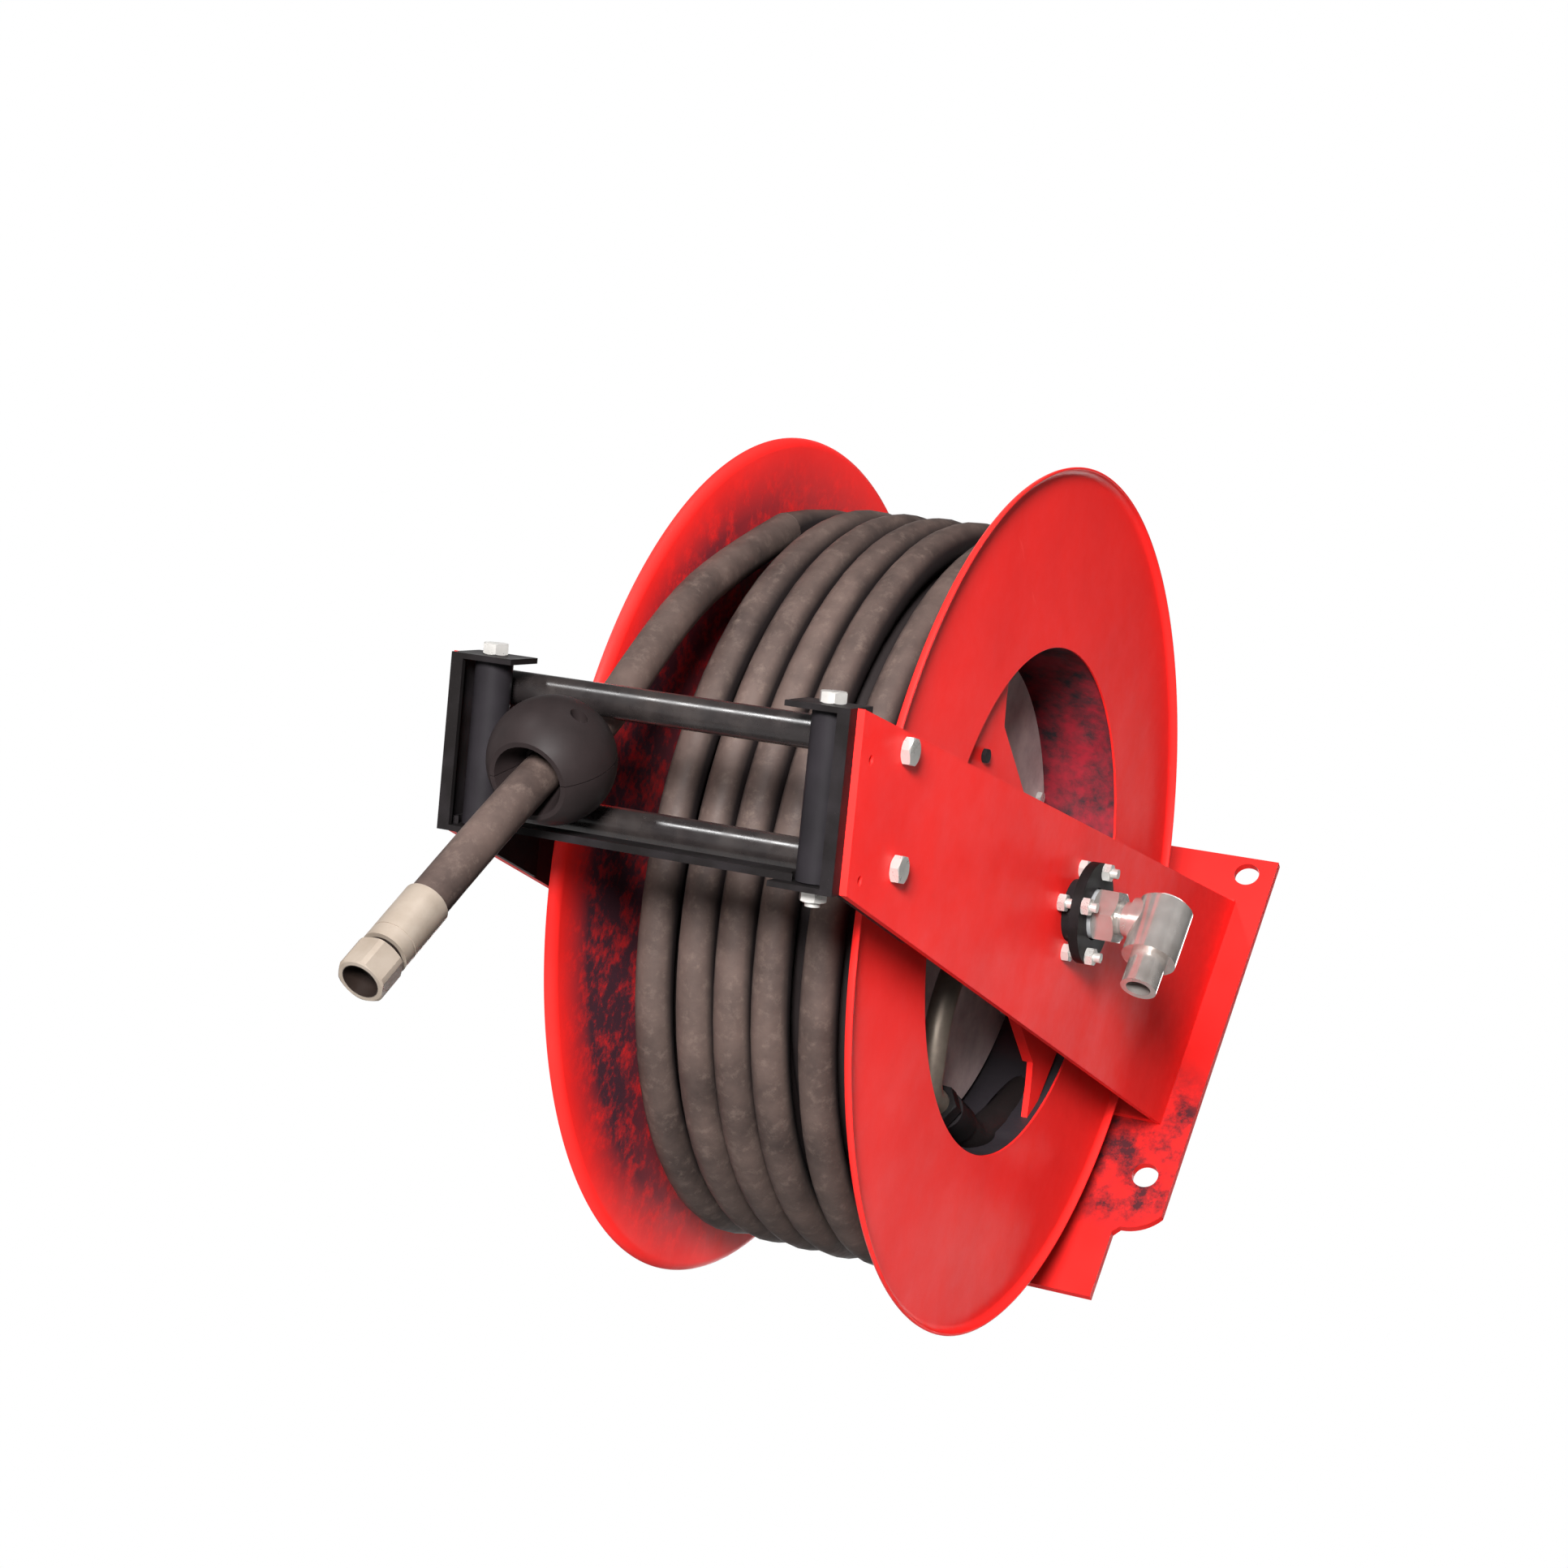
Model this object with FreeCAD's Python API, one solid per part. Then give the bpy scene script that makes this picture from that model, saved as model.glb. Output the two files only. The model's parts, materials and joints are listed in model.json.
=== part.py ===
"""Spring-rewind fire hose reel for a wall, with a four-roller hose guide and a swivel inlet.

Millimetres, +Z up. The drum turns about X, the wall is on the +Y side, and the row's origin is the
centre of the four wall bolts on the back face of the base plate. Everything is drawn about the
drum's axis first, and save() moves it to the row's origin.
"""
import FreeCAD
import Part
import math
import os

V = FreeCAD.Vector

# ---- driving dimensions -------------------------------------------------------------------------
HOSE_D = 22.0                 # rubber hose, half-inch bore
DISC_R = 265.0                # side discs
DISC_T = 1.6
DISC_FACE = 90.0              # |X| of a disc's outer face
DISC_LIP = 6.0                # outward curl of the rim
WINDOW_R = 156.0              # round opening in each disc
CORE_R = 159.0                # the cylinder the hose is wound on
CORE_T = 1.5
LAYER_TOPS = (181.0, 203.0, 225.0)        # outside of each layer of hose
LAYER_FAR_ENDS = (-87.9, -66.0, -54.0)    # X where each layer stops, towards the far disc
LAYER_NEAR_END = 87.9

ARM_FACE = 119.0              # |X| of an arm's outer face
ARM_T = 4.0
ARM_INNER = ARM_FACE - ARM_T
WALL_Y = 299.0                # drum axis to wall
PLATE_T = 6.0
PLATE_Y = WALL_Y - PLATE_T
ARM_ANGLE = 23.0              # slope of the arms, rising from the guide to the wall
WALL_BOLT_X = 120.0
WALL_BOLT_Z = (-23.0, 227.0)
WALL_BOLT_R = 9.0
ORIGIN = V(0, WALL_Y, sum(WALL_BOLT_Z) / 2)

SHAFT_R = 15.0                # hollow shaft, right side
SHAFT_BORE = 8.0
SHAFT_END = 136.0
ARBOR_R = 14.0                # fixed arbor of the power spring, left side
RUN_FIT = 0.05                # radial clearance of running fits

CASE_R = 146.0                # power spring case
CASE_T = 2.0
CASE_X = (-72.0, 40.0)        # its back and its open end
SPRING_TURNS = 16

HEAD_Y = -322.8               # middle of the arms' front edge
HEAD_Z = -151.3
HEAD_TILT = 40.0              # the guide points this far below level
HEAD_HALF = 47.0              # half its height
SIDE_ROLLER = (98.0, -7.0, 10.0)          # |X|, reach g, radius
TOP_ROLLER = (-27.0, 29.0, 9.0)           # reach g, height f, radius
BOTTOM_ROLLER = (-27.0, -34.5, 9.0)
AXLE_R = 4.0

RATCHET_X = (-102.0, -96.0)
RATCHET_R = 62.0
RATCHET_ROOT = 52.0
RATCHET_TEETH = 12
PAWL_PIVOT_R = 88.0
PAWL_LENGTH = 38.0
PAWL_LEAN = 39.5              # angle at the pivot between the drum's axis and the pawl

ELBOW_X = 175.0
ELBOW_R = 16.5
ELBOW_Z = (-45.5, -25.0, 12.0)            # outlet's end, body's foot, body's shoulder
INLET_BORE_R = 7.5
INLET_BORE_L = 15.0
OUTLET_R = 11.0
WATERWAY_R = 6.5
THREAD_R = 9.5                # G 1/2 internal thread, minor radius
BALL_R = 34.0
NUT_AF = 24.0
NUT_R = 13.1                  # its corners are turned down to this

# the free hose from where it leaves the winding, through the guide, to its end fitting
LEAD = [V(-74.0, -172.5, 127.7), V(-71.0, -213.6, 71.0), V(-64.0, -259.0, -2.5),
        V(-52.5, -298.0, -118.7), V(-49.7, -328.4, -157.9), V(-51.9, -351.9, -225.4),
        V(-53.1, -367.4, -274.9)]
BALL_POINT = 4                # the ball stop is clamped on at this point of the route

# ---- helpers ------------------------------------------------------------------------------------
os.makedirs("parts", exist_ok=True)


def save(name, pieces):
    """Write one node: a list of separate solids, moved to the row's origin."""
    solids = []
    for piece in pieces:
        solids.extend(piece.Solids)
    shape = solids[0] if len(solids) == 1 else Part.makeCompound(solids)
    shape = shape.copy()
    shape.translate(V(0, 0, 0) - ORIGIN)
    bad = [s for s in solids if not s.isValid() or s.Volume <= 0]
    print("%-24s solids %2d  cm3 %8.2f %s" % (name, len(solids), sum(s.Volume for s in solids) / 1000,
                                              "BAD" if bad else ""))
    shape.exportStep("parts/" + name + ".step")


def cyl(x0, x1, radius, y=0.0, z=0.0):
    """A cylinder along X between two X stations."""
    return Part.makeCylinder(radius, x1 - x0, V(x0, y, z), V(1, 0, 0))


def tube(x0, x1, outer, inner, y=0.0, z=0.0):
    """A tube along X."""
    return cyl(x0, x1, outer, y, z).cut(cyl(x0 - 1, x1 + 1, inner, y, z))


def rod(start, end, radius):
    """A cylinder between two points."""
    return Part.makeCylinder(radius, (end - start).Length, start, end - start)


def box(x0, x1, y0, y1, z0, z1):
    return Part.makeBox(x1 - x0, y1 - y0, z1 - z0, V(x0, y0, z0))


def polar(radius, degrees, x=0.0):
    """A point on a circle about the drum's axis, counted from +Y towards +Z."""
    turn = math.radians(degrees)
    return V(x, radius * math.cos(turn), radius * math.sin(turn))


def hexagon(base, direction, across_flats, height):
    """A hexagonal prism that stands on base."""
    circle = across_flats / math.sqrt(3)
    points = [V(circle * math.cos(math.radians(60 * k)), circle * math.sin(math.radians(60 * k)), 0)
              for k in range(7)]
    prism = Part.Face(Part.makePolygon(points)).extrude(V(0, 0, height))
    turn = FreeCAD.Rotation(V(0, 0, 1), direction)
    prism.Placement = FreeCAD.Placement(base, turn)
    return prism


def chamfered_hex(base, direction, across_flats, height):
    """A hexagon with its corners turned down at both ends, as nuts and bolt heads have."""
    prism = hexagon(base, direction, across_flats, height)
    unit = V(direction).normalize()
    flat = across_flats / 2
    top = flat * 1.155
    drop = (top - flat) * 0.6
    mid = Part.makeCylinder(top, height - 2 * drop, base + unit * drop, unit)
    low = Part.makeCone(flat * 0.99, top, drop, base, unit)
    high = Part.makeCone(top, flat * 0.99, drop, base + unit * (height - drop), unit)
    return prism.common(low.fuse([mid, high]))


def bolt(head_base, direction, radius, length, head_af=None, head_h=None):
    """A hex bolt: its head stands on head_base along direction, its shank goes the other way."""
    head_af = head_af or radius * 3.3
    head_h = head_h or radius * 1.3
    unit = V(direction).normalize()
    shank = Part.makeCylinder(radius, length, head_base, V(0, 0, 0) - unit)
    return chamfered_hex(head_base, unit, head_af, head_h).fuse(shank)


def nut(base, direction, radius, across_flats, height):
    """A hex nut on a shank of the given radius."""
    unit = V(direction).normalize()
    body = chamfered_hex(base, unit, across_flats, height)
    return body.cut(Part.makeCylinder(radius, height + 2, base - unit, unit))


def plate(points, x0, x1):
    """A flat plate in the YZ plane from (y, z) corners, thick from x0 to x1."""
    loop = [V(x0, y, z) for y, z in points]
    return Part.Face(Part.makePolygon(loop + loop[:1])).extrude(V(x1 - x0, 0, 0))


def revolve(points):
    """A solid of revolution about the drum's axis from (x, r) corners."""
    loop = [V(x, r, 0) for x, r in points]
    face = Part.Face(Part.makePolygon(loop + loop[:1]))
    return face.revolve(V(0, 0, 0), V(1, 0, 0), 360)


def head(reach, height, x=0.0):
    """A point of the hose guide: reach along its exit, height across it."""
    tilt = math.radians(HEAD_TILT)
    return V(x, HEAD_Y - reach * math.cos(tilt) - height * math.sin(tilt),
             HEAD_Z - reach * math.sin(tilt) + height * math.cos(tilt))


def head_plate(corners, x0, x1):
    """A plate in the guide's own (reach, height) plane."""
    return plate([(p.y, p.z) for p in (head(g, f) for g, f in corners)], x0, x1)


def across_guide(reach, height, radius):
    """Cutter along X through the right arm and bracket, at a point of the guide's plane."""
    return rod(head(reach, height, 100), head(reach, height, 130), radius)


def mirrored(shape):
    return shape.mirror(V(0, 0, 0), V(1, 0, 0))


def round_tube(points, radius, name):
    """A round bar along straight runs joined by the largest tangent arcs that they allow."""
    edges = []
    here = points[0]
    for a, b, c in zip(points, points[1:], points[2:]):
        into = (b - a).normalize()
        out = (c - b).normalize()
        half = into.getAngle(out) / 2
        reach = 0.45 * min((b - a).Length, (c - b).Length)
        arc_radius = reach / math.tan(half)
        print("    %s arc radius %.0f, turn %.1f deg" % (name, arc_radius, math.degrees(2 * half)))
        start = b - into * reach
        end = b + out * reach
        chord = ((start + end) * 0.5 - b)
        middle = b + chord.normalize() * (arc_radius / math.cos(half) - arc_radius)
        edges.append(Part.LineSegment(here, start).toShape())
        edges.append(Part.Arc(start, middle, end).toShape())
        here = end
    edges.append(Part.LineSegment(here, points[-1]).toShape())
    path = Part.Wire(edges)
    ring = Part.Wire(Part.makeCircle(radius, points[0], points[1] - points[0]))
    body = path.makePipeShell([ring], True, True)
    print("    %s length %.1f, volume ratio %.4f" % (
        name, path.Length, body.Volume / (math.pi * radius ** 2 * path.Length)))
    return body


# ---- frame: base plate and arms -----------------------------------------------------------------
def base_plate():
    """Wall plate with a rounded shoulder and a narrower tongue below the drum."""
    half, tongue, top, shoulder, foot = 140.0, 110.5, 241.0, -50.0, -118.0
    edges = [(-half, top), (half, top), (half, shoulder)]
    right = [V(x, PLATE_Y, z) for x, z in edges[1:]]
    shoulder_arc = Part.Arc(right[-1], V(128, PLATE_Y, -60.5), V(tongue + 4, PLATE_Y, -64)).toShape()
    outline = [Part.LineSegment(V(-half, PLATE_Y, top), right[0]).toShape(),
               Part.LineSegment(right[0], right[1]).toShape(), shoulder_arc,
               Part.LineSegment(V(tongue + 4, PLATE_Y, -64), V(tongue, PLATE_Y, -69)).toShape(),
               Part.LineSegment(V(tongue, PLATE_Y, -69), V(tongue, PLATE_Y, foot)).toShape(),
               Part.LineSegment(V(tongue, PLATE_Y, foot), V(0, PLATE_Y, foot)).toShape()]
    left = [edge.mirror(V(0, 0, 0), V(1, 0, 0)) for edge in outline[1:]]
    wire = Part.Wire(Part.__sortEdges__(outline + left))
    body = Part.Face(wire).extrude(V(0, PLATE_T, 0))
    for x in (-WALL_BOLT_X, WALL_BOLT_X):
        for z in WALL_BOLT_Z:
            body = body.cut(Part.makeCylinder(WALL_BOLT_R, 40, V(x, PLATE_Y - 20, z), V(0, 1, 0)))
    return body


ARM_ROOT = (17.0, 202.0)      # heights between which an arm meets the base plate
ARM_OUTLINE = [(-353.0, -115.5), (-292.6, -187.0), (PLATE_Y, ARM_ROOT[0]), (PLATE_Y, ARM_ROOT[1])]
FOOT_W = 36.0
FOOT_STUD_X = 92.0
FOOT_STUD_R = 4.0
FOOT_STUD_Z = (48.0, 112.0, 176.0)
HOUSING_R = 19.0
STUD_PCD_R = 26.0
STUD_R = 3.0
STUD_ANGLES = [ARM_ANGLE + 90 * k for k in range(4)]
GUIDE_BOLTS = [(-57.4, 22.8), (-58.8, -38.5)]     # reach, height in the guide's plane
GUIDE_BOLT_R = 4.0
PAWL_PIN_R = 5.0
PAWL_PIVOT = polar(PAWL_PIVOT_R, 180 + ARM_ANGLE)


def arm():
    """The right arm: a tapered plate whose root is folded inward to a foot on the base plate."""
    body = plate(ARM_OUTLINE, ARM_INNER, ARM_FACE)
    foot = box(ARM_FACE - FOOT_W, ARM_FACE, PLATE_Y - ARM_T, PLATE_Y, *ARM_ROOT)
    body = body.fuse(foot).removeSplitter()
    cuts = [cyl(100, 130, HOUSING_R)] + stud_holes()
    cuts += [across_guide(g, f, GUIDE_BOLT_R + 0.2) for g, f in GUIDE_BOLTS]
    cuts += [across_guide(g + 44, f - 2, 2.6) for g, f in GUIDE_BOLTS]
    cuts += [rod(V(FOOT_STUD_X, 280, z), V(FOOT_STUD_X, 300, z), FOOT_STUD_R + 0.3)
             for z in FOOT_STUD_Z]
    return body.cut(cuts)


def foot_fixings():
    """Weld studs on the base plate and the nuts that hold the arms' feet on them."""
    studs, nuts = [], []
    for x in (-FOOT_STUD_X, FOOT_STUD_X):
        for z in FOOT_STUD_Z:
            studs.append(rod(V(x, PLATE_Y, z), V(x, PLATE_Y - 16, z), FOOT_STUD_R))
            nuts.append(nut(V(x, PLATE_Y - ARM_T, z), V(0, -1, 0), FOOT_STUD_R, 13.0, 6.5))
    return studs, nuts


# ---- right side: bearing and water inlet --------------------------------------------------------
HOUSING_X = 109.0             # inner end of the bearing housing
BUSH_R = 18.0
FLANGE_R = 34.0
GLAND_X = (128.0, 134.0)
GLAND_R = 31.0


def stud_holes(x0=100, x1=140):
    """Cutters for the four studs round the right bearing."""
    return [cyl(x0, x1, STUD_R + 0.2, *polar(STUD_PCD_R, angle)[1:]) for angle in STUD_ANGLES]


def bearing_housing():
    """Black flanged sleeve that sits through the arm and holds the bush."""
    body = tube(HOUSING_X, GLAND_X[0], HOUSING_R, BUSH_R)
    flange = tube(HOUSING_X, ARM_INNER, FLANGE_R, BUSH_R)
    return body.fuse(flange).removeSplitter().cut(stud_holes())


def gland_plate():
    """Round plate outside the housing that keeps the shaft seal in."""
    return tube(GLAND_X[0], GLAND_X[1], GLAND_R, SHAFT_R + 1.0).cut(stud_holes())


def gland_fixings():
    """Four studs with a nut against the arm and a nut on the gland plate."""
    studs, nuts = [], []
    for angle in STUD_ANGLES:
        centre = polar(STUD_PCD_R, angle)
        studs.append(cyl(105, 143, STUD_R, centre.y, centre.z))
        for x, height in ((ARM_FACE, 5.0), (GLAND_X[1], 5.0)):
            nuts.append(nut(V(x, centre.y, centre.z), V(1, 0, 0), STUD_R, 10.0, height))
        nuts.append(nut(V(HOUSING_X, centre.y, centre.z), V(-1, 0, 0), STUD_R, 10.0, 3.6))
    return studs, nuts


def hollow_shaft():
    """Water shaft of the drum: flange on the hub bar, bore open to the swivel."""
    seat = BAR_FACE + HUB_T
    body = revolve([(48, 0), (48, SHAFT_R), (BAR_FACE, SHAFT_R), (BAR_FACE, HUB_R), (seat, HUB_R),
                    (seat, SHAFT_R), (SHAFT_END, SHAFT_R), (SHAFT_END, 0)])
    port = rod(V(PORT_X, 0, 0), polar(40, PORT_ANGLE, PORT_X), PIPE_BORE)
    return body.cut([cyl(PORT_X - 6, SHAFT_END + 4, SHAFT_BORE), port]
                    + hub_holes(SHAFT_BOLTS_R, 70, 95))


def swivel_adaptor():
    """Hexagon screwed on the shaft's end, with the spigot that the elbow turns on."""
    body = chamfered_hex(V(SHAFT_END, 0, 0), V(1, 0, 0), 30.0, 14.5)
    body = body.fuse([cyl(150, 158, 10.5), cyl(156, ELBOW_X - 3, 9.0)])
    groove = tube(152.2, 153.6, 12.0, 9.6)
    return body.removeSplitter().cut([groove, cyl(130, 190, 5.5)])


def inlet_elbow():
    """Turning elbow: an upright body, a neck towards the arm and an outlet that points down."""
    mouth, foot, shoulder = ELBOW_Z
    body = rod(V(ELBOW_X, 0, shoulder), V(ELBOW_X, 0, foot), ELBOW_R)
    crown = Part.makeCone(ELBOW_R, ELBOW_R - 4, 3, V(ELBOW_X, 0, shoulder), V(0, 0, 1))
    outlet = rod(V(ELBOW_X, 0, 0), V(ELBOW_X, 0, mouth), OUTLET_R)
    neck = cyl(158.3, ELBOW_X, 14.0)
    body = body.fuse([crown, outlet, neck]).removeSplitter()
    thread = rod(V(ELBOW_X, 0, mouth + INLET_BORE_L), V(ELBOW_X, 0, mouth - 1), INLET_BORE_R)
    water = rod(V(ELBOW_X, 0, 0), V(ELBOW_X, 0, mouth), WATERWAY_R)
    socket = cyl(150, ELBOW_X - 2.5, 9.0 + RUN_FIT)
    return body.cut([thread, water, socket, cyl(150, ELBOW_X, 5.5)])


# ---- drum -----------------------------------------------------------------------------------------
CORE_BORE = CORE_R - CORE_T
PORT_X = 62.0                 # station of the pipe from the shaft to the hose
PORT_ANGLE = 268.0            # its direction out of the shaft
PORT_REACH = 82.0             # how far it runs before it turns
PIPE_R = 8.0
PIPE_BORE = 6.0
TAIL_ANGLE = 282.5            # the hose's inner end lies across this direction
TAIL_LINE = 129.0             # and this far from the drum's axis
TAIL_START = 18.0             # where the pipe ends and the union begins, along that line
UNION_L = 44.0

BAR_ANGLE = 176.8             # direction of the hub bars
BAR_HALF = 40.7
BAR_FACE = 84.5
BAR_T = 4.0
BAR_LIP = 7.0                 # depth of the bars' folded edges
BAR_SCREW = (128.0, 10.0, 2.5)            # along the bar, across it, radius
HUB_R = 32.0
HUB_T = 6.0
HUB_BOLT_R = 3.0
SHAFT_BOLTS_R = 24.0          # bolt circles of the right and left hubs
LEFT_BOLTS_R = 26.5
BOSS_R = 21.0                 # boss of the left hub
BOSS_END = 102.0


def hub_holes(circle, x0, x1):
    """Cutters for the four bolts of a hub, on the right side."""
    return [cyl(x0, x1, HUB_BOLT_R + 0.2, *polar(circle, 45 + 90 * k)[1:]) for k in range(4)]


def bar_places():
    """Centres of the screws at the ends of a hub bar."""
    along, across, _ = BAR_SCREW
    middle, side = polar(1, BAR_ANGLE), polar(1, BAR_ANGLE + 90)
    return [middle * (a * along) + side * (b * across) for a in (-1, 1) for b in (-1, 1)]


def disc():
    """The right disc: flat ring with a curled rim."""
    x1 = DISC_FACE
    x0 = x1 - DISC_T
    lip = DISC_LIP
    edges = [Part.LineSegment(V(x0, WINDOW_R, 0), V(x0, DISC_R - lip, 0)).toShape(),
             Part.Arc(V(x0, DISC_R - lip, 0),
                      V(x0 + lip * (1 - math.sqrt(0.5)), DISC_R - lip * (1 - math.sqrt(0.5)), 0),
                      V(x0 + lip, DISC_R, 0)).toShape(),
             Part.LineSegment(V(x0 + lip, DISC_R, 0), V(x0 + lip, DISC_R - DISC_T, 0)).toShape()]
    bend = lip - DISC_T
    edges += [Part.Arc(V(x0 + lip, DISC_R - DISC_T, 0),
                       V(x1 + bend * (1 - math.sqrt(0.5)),
                         DISC_R - DISC_T - bend * (1 - math.sqrt(0.5)), 0),
                       V(x1, DISC_R - lip, 0)).toShape(),
              Part.LineSegment(V(x1, DISC_R - lip, 0), V(x1, WINDOW_R, 0)).toShape(),
              Part.LineSegment(V(x1, WINDOW_R, 0), V(x0, WINDOW_R, 0)).toShape()]
    return Part.Face(Part.Wire(edges)).revolve(V(0, 0, 0), V(1, 0, 0), 360)


def tail_frame():
    """The point of the hose's inner line nearest to the axis, and the line's direction."""
    return polar(TAIL_LINE, TAIL_ANGLE, PORT_X), polar(1.0, TAIL_ANGLE + 90)


def drum_core():
    """Rolled cylinder between the discs, with a slot where the hose comes through."""
    inner = DISC_FACE - DISC_T
    foot, along = tail_frame()
    body = tube(-inner, inner, CORE_R, CORE_BORE)
    near, far = foot + along * 70, foot + along * 112
    outside = polar(CORE_R + HOSE_D / 2 + 1, TAIL_ANGLE + 62, PORT_X + 4)
    reach = HOSE_D / 2 + 3
    return body.cut(rod(near, far, reach).fuse(rod(far, outside, reach)))


def hub_bar(centre_r, bolt_circle):
    """Folded bar across the right end of the core, flared at both ends and bored for a shaft."""
    half = [(118, BAR_HALF), (129, BAR_HALF + 10), (150, BAR_HALF + 34)]
    side = half + [(a, -b) for a, b in reversed(half)]
    corners = side + [(-a, -b) for a, b in side]
    web = plate(corners, BAR_FACE - BAR_T, BAR_FACE)
    lips = [box(BAR_FACE - BAR_LIP, BAR_FACE, -118, 118, edge - 2, edge + 2)
            for edge in (-BAR_HALF + 2, BAR_HALF - 2)]
    body = web.fuse(lips)
    body.rotate(V(0, 0, 0), V(1, 0, 0), BAR_ANGLE)
    body = body.common(cyl(0, 100, CORE_BORE))
    cuts = [cyl(60, 100, centre_r)] + hub_holes(bolt_circle, 60, 100)
    cuts += [cyl(60, 100, BAR_SCREW[2] + 0.2, p.y, p.z) for p in bar_places()]
    return body.removeSplitter().cut(cuts)


def bar_lugs():
    """Angle lugs welded in the core; the hub bars are screwed to them."""
    lugs = []
    back = BAR_FACE - BAR_T
    for half in (0, 180):
        leg = box(back - 4, back, 112, CORE_BORE, -22, 22)
        wall = box(back - 8, back, 146, CORE_BORE, -22, 22)
        lug = leg.fuse(wall)
        lug.rotate(V(0, 0, 0), V(1, 0, 0), BAR_ANGLE + half)
        lug = lug.common(tube(0, 100, CORE_BORE, 60)).cut(cyl(0, back - 4, CORE_BORE - 4))
        lugs.append(lug.cut([cyl(60, 100, BAR_SCREW[2] + 0.2, p.y, p.z) for p in bar_places()]))
    return lugs


def bar_screws():
    """Dark screws through the ends of the right hub bar, with their nuts."""
    pieces = []
    radius = BAR_SCREW[2]
    for p in bar_places():
        pieces.append(bolt(V(BAR_FACE, p.y, p.z), V(1, 0, 0), radius, 12, 8.0, 3.0))
        pieces.append(nut(V(BAR_FACE - BAR_T - 4, p.y, p.z), V(-1, 0, 0), radius, 8.0, 4.0))
    return pieces


def hub_bolts(circle):
    """Four bolts round a hub flange on the right side, with their nuts."""
    pieces = []
    for k in range(4):
        centre = polar(circle, 45 + 90 * k)
        seat = V(BAR_FACE + HUB_T, centre.y, centre.z)
        pieces.append(bolt(seat, V(1, 0, 0), HUB_BOLT_R, 15))
        pieces.append(nut(V(BAR_FACE - BAR_T, centre.y, centre.z), V(-1, 0, 0), HUB_BOLT_R, 10, 4))
    return pieces


def left_hub():
    """Hub bolted to the left bar; the ratchet wheel sits on its boss."""
    bore = ARBOR_R + 3.0
    seat, back = BAR_FACE + HUB_T, BAR_FACE - BAR_T
    body = revolve([(-BOSS_END, bore), (-BOSS_END, BOSS_R), (-seat, BOSS_R), (-seat, HUB_R),
                    (-BAR_FACE, HUB_R), (-BAR_FACE, BOSS_R), (-back, BOSS_R), (-back, bore)])
    return body.cut([mirrored(hole) for hole in hub_holes(LEFT_BOLTS_R, 70, 95)])


def ratchet_wheel():
    """Toothed wheel with gaps that face the pawl at rest."""
    pitch = 360.0 / RATCHET_TEETH
    gap_middle = 180 + ARM_ANGLE - 20
    points = []
    for k in range(RATCHET_TEETH):
        tooth = gap_middle + pitch / 2 + k * pitch
        for radius, offset in ((RATCHET_ROOT, -6), (RATCHET_R, -2.5), (RATCHET_R, 3.5),
                               (RATCHET_ROOT, 4.5)):
            point = polar(radius, tooth + offset)
            points.append((point.y, point.z))
    body = plate(points, *RATCHET_X)
    lightening = [cyl(-110, -90, 5.0, *polar(38, 30 + 60 * k)[1:]) for k in range(6)]
    return body.cut([cyl(-110, -90, BOSS_R)] + lightening)


def spring_case():
    """Pan that holds the power spring, with a back that reaches out to the core."""
    back, mouth = CASE_X
    floor = back + CASE_T
    bore = CASE_R - CASE_T
    return revolve([(back, 30), (back, CORE_BORE), (floor, CORE_BORE), (floor, CASE_R),
                    (mouth, CASE_R), (mouth, bore), (floor, bore), (floor, 30)])


def cover_places():
    """Centres of the cover's screws."""
    return [polar(CASE_R - 7, 60 * k) for k in range(6)]


def spring_cover():
    """Flat black cover on the case's open end, with a raised middle."""
    back = CASE_X[1]
    front = back + CASE_T
    body = revolve([(back, 0), (back, CASE_R + 4), (front, CASE_R + 4), (front, 20), (front + 3, 17),
                    (front + 3, 0)])
    return body.cut([cyl(back - 5, front + 5, 2.6, p.y, p.z) for p in cover_places()])


def case_blocks():
    """Threaded blocks inside the case's rim for the cover's screws."""
    blocks = []
    mouth = CASE_X[1]
    for k, centre in enumerate(cover_places()):
        block = box(mouth - 14, mouth, CASE_R - 13, CASE_R, -6, 6)
        block.rotate(V(0, 0, 0), V(1, 0, 0), 60 * k)
        block = block.common(cyl(mouth - 20, mouth, CASE_R - CASE_T))
        blocks.append(block.cut(cyl(mouth - 20, mouth + 1, 2.5, centre.y, centre.z)))
    return blocks


def cover_screws():
    seat = CASE_X[1] + CASE_T
    return [bolt(V(seat, p.y, p.z), V(1, 0, 0), 2.5, 14, 8.0, 3.5) for p in cover_places()]


def power_spring():
    """Flat strip wound round the arbor: a spiral of half circles."""
    strip, pitch = 1.0, 7.0
    first = ARBOR_R + 5.0
    last = first + SPRING_TURNS * pitch
    inner_edges, outer_edges = [], []
    for half in range(2 * SPRING_TURNS):
        side = 1 if half % 2 == 0 else -1
        shift = 0.0 if side == 1 else pitch / 2
        radius = first + half * pitch / 2
        for store, r in ((inner_edges, radius), (outer_edges, radius + strip)):
            store.append(Part.Arc(V(0, shift + side * r, 0), V(0, shift, side * r),
                                  V(0, shift - side * r, 0)).toShape())
    start = Part.LineSegment(V(0, first, 0), V(0, first + strip, 0)).toShape()
    end = Part.LineSegment(V(0, last, 0), V(0, last + strip, 0)).toShape()
    wire = Part.Wire(Part.__sortEdges__(inner_edges + outer_edges + [start, end]))
    band = Part.Face(wire).extrude(V(CASE_X[1] - CASE_X[0] - 34, 0, 0))
    band.translate(V(CASE_X[0] + 14, 0, 0))
    return band


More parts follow.
